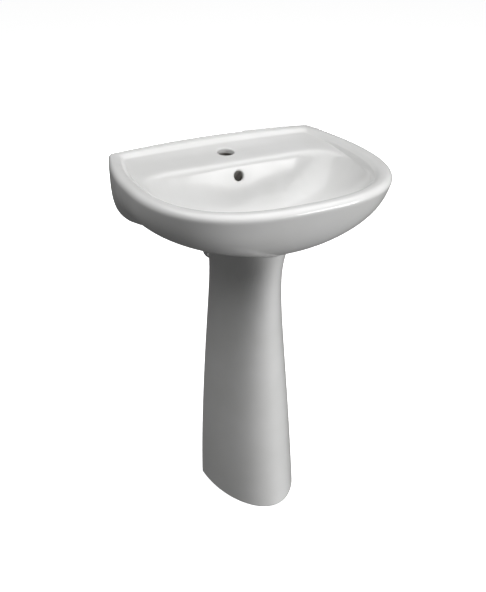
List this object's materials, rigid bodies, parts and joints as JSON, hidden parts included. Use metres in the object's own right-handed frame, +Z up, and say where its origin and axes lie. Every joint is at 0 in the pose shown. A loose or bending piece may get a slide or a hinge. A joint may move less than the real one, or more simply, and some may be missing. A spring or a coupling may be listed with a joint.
{
  "type": "pedestal sink",
  "caption": "White glazed washbasin with raised rim, tap deck, tap hole and overflow, standing on a waisted hollow pedestal that hides its push-to-close waste, bottle trap and pipe.",
  "frame": {"origin": "on the floor, under the middle of the bounding box of the whole part", "axes": "+Z up; -Y is the front; the wall plane is at the +Y side; X runs along the wall"},
  "size_m": [0.5598, 0.47, 0.8589],
  "materials": {
    "china": "white gloss glaze",
    "silicone": "white sealing strip",
    "chrome": "polished plating",
    "brass": "plain machined",
    "rubber": "matt black",
    "white_plastic": "matt moulded",
    "spring_steel": "drawn wire"
  },
  "bodies": {
    "sink": {"basin": "china", "pedestal": "china", "seat_seal": "silicone", "waste_body": "chrome", "waste_top_washer": "rubber", "waste_lower_washer": "rubber", "waste_slip_ring": "white_plastic", "waste_backnut": "brass", "plug_cartridge": "white_plastic", "plug_spring": "spring_steel", "trap_inlet_nut": "chrome", "trap_inlet_washer": "rubber", "trap_body": "chrome", "trap_dip_tube": "chrome", "trap_cup": "chrome", "trap_cup_seal": "rubber", "trap_outlet_nut": "chrome", "trap_outlet_washer": "rubber", "waste_pipe": "chrome", "wall_rosette": "chrome"},
    "plug": {"plug_cap": "chrome", "plug_seal": "rubber", "plug_stem": "brass"}
  },
  "joints": [
    {"name": "plug_slide", "type": "slide", "parent": "sink", "child": "plug", "axis": [0, 0, 1], "range_m": [-0.009, 0], "deforming": ["plug_spring"]}
  ]
}
